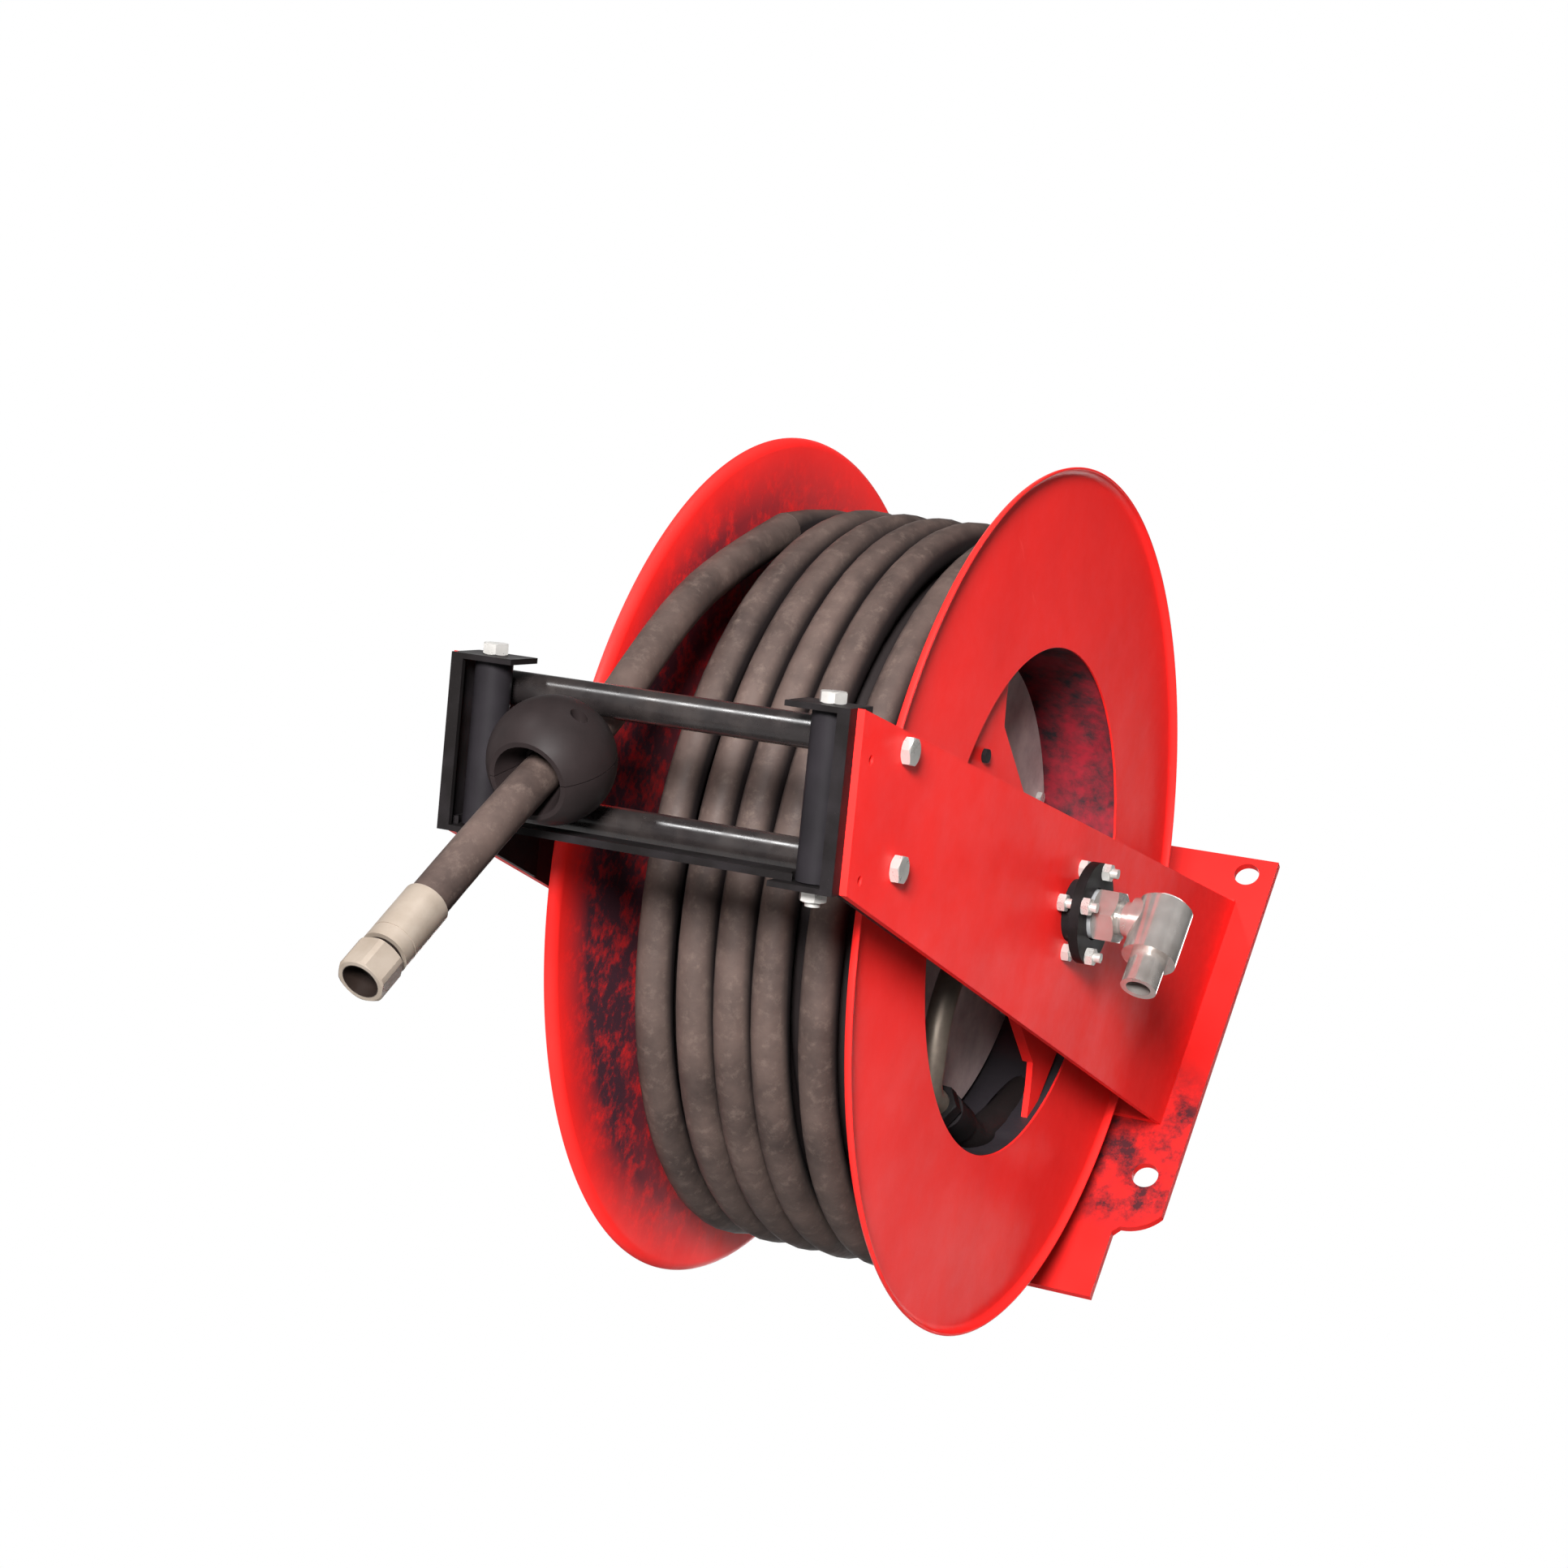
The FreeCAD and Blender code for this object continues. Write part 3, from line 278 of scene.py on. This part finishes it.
def plain_floor():
    """Pale, almost even ground."""
    look = Look("floor", PAPER, 0.9)
    look.tint(look.noise(2.0), PAPER, PAPER_DIM)
    return look.material


def red_coat(name, gloss, bright=RED, deep=DEEP_RED):
    """Powder coat with orange peel: the look, and its base colour for more layers."""
    look = Look(name, bright, 0.45, specular_ior_level=0.15)
    base = look.tint(look.ramp(look.noise(9.0, 4.0), 0.35, 0.7), bright, deep)
    look.rough(look.ramp(look.noise(25.0, 5.0, 0.65), 0.3, 0.75, *gloss))
    look.bump(look.noise(650.0, 2.0), 0.10, 0.00025)
    return look, base


def red_paint():
    """The coat with faint scuffs."""
    look, base = red_coat("red_paint", (0.36, 0.55))
    scratch = look.noise(70.0, 6.0, 0.7, look.stretch((1.0, 0.12, 1.0), (0.5, 0.2, 0.4)))
    marks = look.ramp(scratch, 0.66, 0.74)
    look.tint(marks, base, (0.85, 0.050, 0.040))
    look.bump(marks, 0.06, 0.0001)
    return look.material


def core_paint():
    """Dark, mottled with dull red that fades out towards the bottom."""
    dark_base, dull_red = (0.016, 0.013, 0.016), (0.22, 0.010, 0.019)
    look = Look("core_paint", dark_base, 0.6, specular_ior_level=0.3)
    mottle = look.ramp(look.noise(38.0, 6.0, 0.7), 0.38, 0.60)
    height = look.node("ShaderNodeSeparateXYZ")
    look.link(look.where, height.inputs[0])
    higher_up = look.ramp(height.outputs["Z"], DRUM.z - 0.03, DRUM.z + 0.10)
    look.tint(look.times(mottle, higher_up), dark_base, dull_red)
    look.rough(look.ramp(look.noise(60.0, 4.0), 0.3, 0.7, 0.45, 0.7))
    look.bump(look.noise(420.0, 3.0), 0.2, 0.0003)
    return look.material


def red_with_painted_shade():
    """The red coat of the disc that the hose runs against, with mottled painted shade on its inner face next to
    the wound hose, on the lower front side.
    """
    look, base = red_coat("red_with_painted_shade", (0.38, 0.6))
    unshaded, black, front_and_down = 0.260, 0.226, (0.0, -0.75, -0.66)
    near = look.ramp(look.off_line(DRUM, X_AXIS), unshaded, black)
    low = look.node("ShaderNodeVectorMath", operation="DOT_PRODUCT")
    low.inputs[1].default_value = front_and_down
    from_axis = look.node("ShaderNodeVectorMath", operation="SUBTRACT")
    from_axis.inputs[1].default_value = tuple(DRUM)
    look.link(look.where, from_axis.inputs[0])
    look.link(from_axis.outputs["Vector"], low.inputs[0])
    side = look.ramp(low.outputs["Value"], -0.02, 0.17, 0.55, 1.0)
    mottle = look.ramp(look.noise(60.0, 8.0, 0.8), 0.26, 0.52)
    mask = look.times(near, side, mottle, look.facing((1.0, 0.0, 0.0)))
    # painted shade of the wound hose on the disc's inner face
    look.tint(mask, base, (0.052, 0.018, 0.026))
    return look.material


def base_paint():
    """Darker red of the wall plate, a painted-shade copy of the coat against the stronger key light on it, with a
    dark mottled patch below the arm.
    """
    # darker copy of the red: painted shade, as the key light falls harder on this plate
    look, base = red_coat("base_red", (0.40, 0.62), (0.60, 0.012, 0.010), (0.50, 0.010, 0.008))
    centre = (0.108, 0.0, DRUM.z - 0.005)
    spot = look.off_line(centre, (0.0, 1.0, 0.0))
    mottle = look.ramp(look.noise(40.0, 6.0, 0.75), 0.36, 0.60)
    mask = look.times(look.ramp(spot, 0.080, 0.045), mottle, look.facing((0.0, -1.0, 0.0)))
    look.tint(mask, base, (0.048, 0.009, 0.012))
    return look.material


def arm_paint(name, inwards):
    """Red outside; the face towards the drum is painted dark, painted shade that also keeps bounce light out of
    the arm's shadow.
    """
    look, base = red_coat(name, (0.38, 0.6))
    # dark inward face: painted shade
    look.tint(look.facing((inwards, 0.0, 0.0)), base, (0.020, 0.013, 0.016))
    return look.material


def ball_plastic():
    """Hose stop: warm black rubbery plastic with a soft sheen."""
    black, rubbed = (0.011, 0.008, 0.008), (0.017, 0.012, 0.012)
    look = Look("ball_plastic", black, 0.5, specular_ior_level=0.09)
    look.tint(look.ramp(look.noise(30.0, 5.0), 0.35, 0.7), black, rubbed)
    look.rough(look.ramp(look.noise(50.0, 4.0), 0.3, 0.7, 0.46, 0.56))
    look.bump(look.noise(900.0, 2.0), 0.10, 0.00015)
    return look.material


def black_paint():
    """Satin black coat with fine grit."""
    look = Look("black_paint", (0.007, 0.006, 0.007), 0.55, specular_ior_level=0.05)
    grit = look.noise(1400.0, 2.0)
    base = look.tint(look.ramp(look.noise(40.0, 4.0), 0.4, 0.7), (0.007, 0.006, 0.006),
                     (0.013, 0.011, 0.012))
    look.tint(look.ramp(grit, 0.70, 0.8, 0.0, 0.4), base, (0.08, 0.065, 0.065))
    look.rough(look.ramp(look.noise(30.0, 4.0), 0.3, 0.7, 0.36, 0.55))
    look.bump(grit, 0.25, 0.0002)
    return look.material


def black_plastic():
    """Moulded plastic: soft gloss, faint flow marks."""
    black, rubbed = (0.009, 0.008, 0.009), (0.014, 0.012, 0.014)
    look = Look("black_plastic", black, 0.5, specular_ior_level=0.06)
    look.tint(look.ramp(look.noise(28.0, 4.0), 0.35, 0.7), black, rubbed)
    look.rough(look.ramp(look.noise(60.0, 4.0), 0.3, 0.7, 0.46, 0.60))
    look.bump(look.noise(900.0, 2.0), 0.12, 0.00015)
    return look.material


def bright_metal(name, colour, dark, low, high, grain=500.0, metal=0.6):
    """Plated or machined metal with cloudy plating and a fine grain."""
    look = Look(name, colour, low, metal)
    look.tint(look.ramp(look.noise(45.0, 5.0, 0.6), 0.35, 0.75), colour, dark)
    look.rough(look.ramp(look.noise(120.0, 4.0), 0.3, 0.7, low, high))
    look.bump(look.noise(grain, 3.0), 0.10, 0.0001)
    return look.material


def hose_rubber(name, wound):
    """Brown-black cover, rubbed lighter in patches; where it is wound, the valleys between turns are darkened with
    painted shade.
    """
    dark, worn, dust = (0.026, 0.018, 0.016), (0.070, 0.048, 0.041), (0.118, 0.086, 0.072)
    valley, crown, painted_shade = 0.2175, 0.2235, (0.010, 0.007, 0.007)
    look = Look(name, dark, 0.6, specular_ior_level=0.16)
    base = look.tint(look.ramp(look.noise(20.0, 6.0, 0.65), 0.30, 0.66), dark, worn)
    base = look.tint(look.ramp(look.noise(120.0, 7.0, 0.75), 0.52, 0.78, 0.0, 0.7), base, dust)
    if wound:
        height = look.off_line(DRUM, X_AXIS)
        # painted shade in the valleys between wound turns
        look.tint(look.ramp(height, crown, valley), base, painted_shade)
    look.rough(look.ramp(look.noise(55.0, 4.0), 0.3, 0.7, 0.52, 0.72))
    look.bump(look.noise(1100.0, 3.0), 0.22, 0.0002)
    look.bump(look.noise(160.0, 3.0), 0.14, 0.0004)
    return look.material


def rolled_steel():
    """Black rollers with a worn gloss."""
    black, worn = (0.010, 0.008, 0.008), (0.020, 0.016, 0.015)
    look = Look("roller_black", black, 0.26, specular_ior_level=0.45)
    look.tint(look.ramp(look.noise(60.0, 5.0), 0.4, 0.7), black, worn)
    look.rough(look.ramp(look.noise(90.0, 4.0), 0.3, 0.7, 0.22, 0.34))
    look.bump(look.noise(700.0, 2.0), 0.08, 0.0001)
    return look.material


def grey_painted_light():
    """Light grey inside the drum: painted light on the dark cover, in cloudy paler and dimmer patches."""
    pale_patch, dim_patch = (0.48, 0.37, 0.36), (0.26, 0.20, 0.195)
    look = Look("grey_painted_light", (0.16, 0.125, 0.12), 0.55, specular_ior_level=0.3)
    # painted light: pale grey that stands in for light falling on the dark cover
    look.tint(look.ramp(look.noise(22.0, 6.0, 0.7), 0.35, 0.7), pale_patch, dim_patch)
    look.rough(look.ramp(look.noise(40.0, 4.0), 0.3, 0.7, 0.42, 0.66))
    look.bump(look.noise(500.0, 3.0), 0.15, 0.0002)
    return look.material


def end_fitting():
    """Cream zinc of the hose's end, with painted shade, a dark brown, inside its mouth and behind the nut."""
    axis = (Vector(LEAD[-1]) - Vector(LEAD[-2])).normalized()
    cream, dull, painted_shade = (0.27, 0.225, 0.185), (0.20, 0.16, 0.125), (0.016, 0.010, 0.008)
    wall, bore = 0.0101, 0.0096
    look = Look("end_fitting", cream, 0.42, 0.25)
    base = look.tint(look.ramp(look.noise(60.0, 5.0, 0.6), 0.35, 0.75), cream, dull)
    inside = look.off_line(DRUM + Vector(LEAD[-1]) * MM, axis)
    # painted shade inside the mouth and recess, near the axis
    look.tint(look.ramp(inside, wall, bore), base, painted_shade)
    look.rough(look.ramp(look.noise(120.0, 4.0), 0.3, 0.7, 0.36, 0.52))
    look.bump(look.noise(400.0, 3.0), 0.10, 0.0001)
    return look.material


# colour, darker patches, gloss from and to, then grain and metal where they differ
METALS = {"zinc_steel": ((0.62, 0.60, 0.57), (0.40, 0.38, 0.36), 0.24, 0.40),
          "plain_steel": ((0.56, 0.56, 0.57), (0.42, 0.42, 0.43), 0.28, 0.42),
          "spring_steel": ((0.30, 0.31, 0.34), (0.2, 0.2, 0.22), 0.30, 0.45),
          "nickel": ((0.60, 0.56, 0.53), (0.38, 0.34, 0.31), 0.14, 0.28, 300.0, 0.8),
          "warm_zinc": ((0.26, 0.21, 0.17), (0.12, 0.09, 0.07), 0.36, 0.55),
          "bronze": ((0.60, 0.40, 0.20), (0.42, 0.27, 0.13), 0.35, 0.5)}


def make_materials():
    """Every look by its name; the slots of the record are among the names."""
    made = {
        "red_paint": red_paint(),
        "core_paint": core_paint(),
        "red_with_painted_shade": red_with_painted_shade(),
        "black_paint": black_paint(),
        "black_plastic": black_plastic(),
        "hose_rubber": hose_rubber("hose_rubber", False),
        "wound_rubber": hose_rubber("wound_rubber", True),
        "base_red": base_paint(),
        "arm_red_right": arm_paint("arm_red_right", -1.0),
        "arm_red_left": arm_paint("arm_red_left", 1.0),
        "ball_plastic": ball_plastic(),
        "roller_black": rolled_steel(),
        "grey_painted_light": grey_painted_light(),
        "end_fitting": end_fitting(),
    }
    made.update((name, bright_metal(name, *settings)) for name, settings in METALS.items())
    return made


# ---- geometry helpers -----------------------------------------------------------------------
def add(name, data, material, body):
    """A new piece that rides on a body."""
    piece = bpy.data.objects.new(name, data)
    bpy.context.scene.collection.objects.link(piece)
    data.materials.append(looks[material])
    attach(piece, body)
    return piece


def lathe(name, profile, origin, direction, segments=96):
    """Mesh of a closed (distance, radius) profile turned about a line."""
    turn = Vector(direction).to_track_quat("Z", "Y")
    verts = []
    for distance, radius in profile:
        for k in range(segments):
            angle = 2 * math.pi * k / segments
            local = Vector((radius * math.cos(angle), radius * math.sin(angle), distance))
            verts.append(Vector(origin) + turn @ local)
    rows = len(profile)
    faces = []
    for row in range(rows):
        after = (row + 1) % rows
        for k in range(segments):
            step = (k + 1) % segments
            faces.append((row * segments + k, row * segments + step,
                          after * segments + step, after * segments + k))
    mesh = bpy.data.meshes.new(name)
    mesh.from_pydata(verts, [], faces)
    mesh.shade_smooth()
    mesh.update()
    return mesh


def soften(piece, width, angle=30, segments=2):
    """Rounded edges and clean shading, as modifiers."""
    bevel = piece.modifiers.new("rounded", "BEVEL")
    bevel.width = width
    bevel.segments = segments
    bevel.limit_method = "ANGLE"
    bevel.angle_limit = math.radians(angle)
    bevel.harden_normals = False
    piece.data.shade_smooth()
    normals = piece.modifiers.new("normals", "WEIGHTED_NORMAL")
    normals.keep_sharp = True


# ---- hose -----------------------------------------------------------------------------------
PER_TURN = 18                      # control points to a turn
WHOLE_TURNS = 19
UNION_AT, UNION_R, UNION_X = 282.5, 129.0, 62.0    # direction, radius and X of the inner end
TAIL_REACH = (62, 80, 98)          # how far past the union the tail's control points lie
CORE_FROM = 62.0                   # degrees from the union to where the hose meets the core
WANDER = 0.6                       # how far a turn strays sideways, in mm
# the tables below are read against turns before the hose leaves, and are in mm
LAYER_R = [(-12.3, 170), (-11.9, 192), (-5.95, 192), (-5.55, 214.4), (0, 214.6)]
START_X, FIRST_X = 66, 77          # where the first turn begins and ends up against the disc
LAYER_X = [(-12.3, -77), (-11.9, -56), (-5.9, 77), (-5.35, 77), (-4.4, 38), (-1.0, -42),
           (0, LEAD[0][0])]
SAG_AT = 288.0                     # direction in which the outer turns hang loose
SAG = [(-12.3, 0.0), (-11.0, 5.0), (-6.2, 5.0), (-5.3, 9.0), (0, 9.0)]


def on_drum(x, radius, degrees):
    """A point round the drum, from millimetres and degrees counted from the wall side upwards."""
    angle = math.radians(degrees)
    return DRUM + Vector((x, radius * math.cos(angle), radius * math.sin(angle))) * MM


def spline(name, points):
    """A smooth hose along control points."""
    data = bpy.data.curves.new(name, "CURVE")
    data.dimensions = "3D"
    data.bevel_depth = HOSE_D / 2
    data.bevel_resolution = 6
    data.resolution_u = 4
    data.use_fill_caps = True
    line = data.splines.new("NURBS")
    line.points.add(len(points) - 1)
    for point, place in zip(line.points, points):
        point.co = (*place, 1.0)
    line.order_u = 3
    line.use_endpoint_u = True
    return data


def blend_between(value, stops):
    """Linear reading of a table of (position, number) stops."""
    for (a, low), (b, high) in zip(stops, stops[1:]):
        if value <= b:
            share = (value - a) / (b - a)
            return low + (high - low) * max(0.0, share)
    return stops[-1][1]


def wound_points():
    """The wound hose: its inner end, three layers to and fro, and the point where it leaves."""
    angle = math.radians(UNION_AT)
    out = Vector((0, math.cos(angle), math.sin(angle)))
    along = Vector((0, -out.z, out.y))
    points = [DRUM + (X_AXIS * UNION_X + out * UNION_R + along * reach) * MM
              for reach in TAIL_REACH]
    leave = math.degrees(math.atan2(LEAD[0][2], LEAD[0][1])) % 360
    first = UNION_AT + CORE_FROM
    turns = WHOLE_TURNS + (leave + 360 - first) / 360
    radius_stops = [(-turns, LAYER_R[0][1])] + LAYER_R
    x_stops = [(-turns, START_X), (-turns + 0.25, FIRST_X)] + LAYER_X
    steps = int(round(turns * PER_TURN))
    pull = 1 / math.cos(math.pi / PER_TURN)    # control points lie outside the curve
    chance = random.Random(4)
    wander = [chance.uniform(-WANDER, WANDER) for _ in range(24)]
    for k in range(steps + 1):
        turn = turns * k / steps
        left = turn - turns
        radius = blend_between(left, radius_stops) * (pull if k < steps else 1.0)
        hang = max(0.0, math.cos(math.radians(first + 360 * turn - SAG_AT)))
        radius += blend_between(left, SAG) * hang ** 2
        x = blend_between(left, x_stops)
        if 1 < turn < turns - 1:
            share = turn - int(turn)
            x += wander[int(turn)] * (1 - share) + wander[int(turn) + 1] * share
        points.append(on_drum(x, radius, first + 360 * turn))
    return points


def line_length(data, name):
    """Length of a curve's own line."""
    dim_patch = data.copy()
    dim_patch.bevel_depth = 0
    probe = bpy.data.objects.new(name, dim_patch)
    bpy.context.scene.collection.objects.link(probe)
    bpy.context.view_layer.update()
    mesh = bpy.data.meshes.new_from_object(probe)
    total = sum((mesh.vertices[e.vertices[0]].co - mesh.vertices[e.vertices[1]].co).length
                for e in mesh.edges)
    bpy.data.objects.remove(probe)
    return total


def make_hose():
    """The wound hose and the free hose, each a cord that replaces its CAD stand-ins."""
    wound = wound_points()
    data = spline("wound_hose", wound)
    length = line_length(data, "probe_wound")
    winding = add("wound_hose", data, "wound_rubber", "drum")
    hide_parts("hose_winding", "hose_tail")
    route = [DRUM + Vector(place) * MM for place in LEAD]
    data = spline("free_hose", route)
    length = line_length(data, "probe_free")
    lead = add("free_hose", data, "hose_rubber", "frame")
    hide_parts("hose_lead")


# ---- drum discs -----------------------------------------------------------------------------
DISC_FACE, DISC_SHEET = 90.0, 1.6    # distance of the outer face from the middle, thickness
DISC_R, WINDOW_R, LIP_R = 265.0, 156.0, 6.0
DISC_WAIST = 200                     # radius of an extra ring between the window and the rim
LIP_STEPS = 8


def disc_profile(sign):
    """(distance, radius) loop of a side disc with a curled rim."""
    inner = DISC_FACE - DISC_SHEET
    bend = LIP_R - DISC_SHEET
    loop = [(inner, WINDOW_R), (inner, DISC_WAIST), (inner, DISC_R - LIP_R)]
    for k in range(1, LIP_STEPS + 1):
        a = math.radians(90 * k / LIP_STEPS)
        loop.append((inner + LIP_R * (1 - math.cos(a)), DISC_R - LIP_R + LIP_R * math.sin(a)))
    for k in range(LIP_STEPS, -1, -1):
        a = math.radians(90 * k / LIP_STEPS)
        loop.append((inner + LIP_R - bend * math.cos(a), DISC_R - LIP_R + bend * math.sin(a)))
    loop += [(DISC_FACE, DISC_WAIST), (DISC_FACE, WINDOW_R)]
    return [(sign * x * MM, r * MM) for x, r in loop]


def make_discs():
    """Finer meshes of the two side discs."""
    for sign, side, look in ((1, "right", "red_paint"), (-1, "left", "red_with_painted_shade")):
        mesh = lathe("side_disc_" + side, disc_profile(sign), DRUM, X_AXIS, 256)
        if sign < 0:
            mesh.flip_normals()
        disc = add("side_disc_" + side, mesh, look, "drum")
        soften(disc, 0.0003, 50, 1)
        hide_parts("disc_" + side)


# ---- CAD nodes that stay --------------------------------------------------------------------
# edge radius in metres, and the nodes that get it
ROUNDED = {0.0003: "gland_nuts guide_bolts side_axle_bolts side_axle_nuts foot_nuts foot_studs",
           0.0004: "spring_cover swivel_adaptor hose_ferrule hose_end_nut outlet_ferrule pawl "
                   "ratchet_wheel left_hub hollow_shaft",
           0.0005: "guide_bracket_right guide_bracket_left guide_tie_bar gland_plate "
                   "arbor_flange",
           0.0006: "base_plate arm_right arm_left hub_bar_right hub_bar_left ball_half_upper "
                   "ball_half_lower top_roller bottom_roller side_roller_right "
                   "side_roller_left",
           0.0008: "inlet_elbow"}
# looks other than the slot's own, and the nodes that get them
DRESSED = {"base_red": "base_plate",
           "arm_red_right": "arm_right",
           "arm_red_left": "arm_left",
           "ball_plastic": "ball_half_upper ball_half_lower",
           "roller_black": "top_roller bottom_roller",
           "end_fitting": "hose_ferrule hose_end_nut",
           "grey_painted_light": "spring_cover"}


def dress_cad():
    """Every CAD node gets its slot's material, and the visible ones get rounded edges."""
    slot_of = {s["node"]: s["material_slot"] for s in frame["record"]["subparts"]}
    for name, piece in nodes.items():
        piece.data.materials.clear()
        piece.data.materials.append(looks[slot_of[name]])
    for look, names in DRESSED.items():
        for name in names.split():
            nodes[name].data.materials[0] = looks[look]
    for width, names in ROUNDED.items():
        for name in names.split():
            soften(nodes[name], width)


looks = make_materials()
make_camera()
make_hose()
make_studio()
make_discs()
dress_cad()
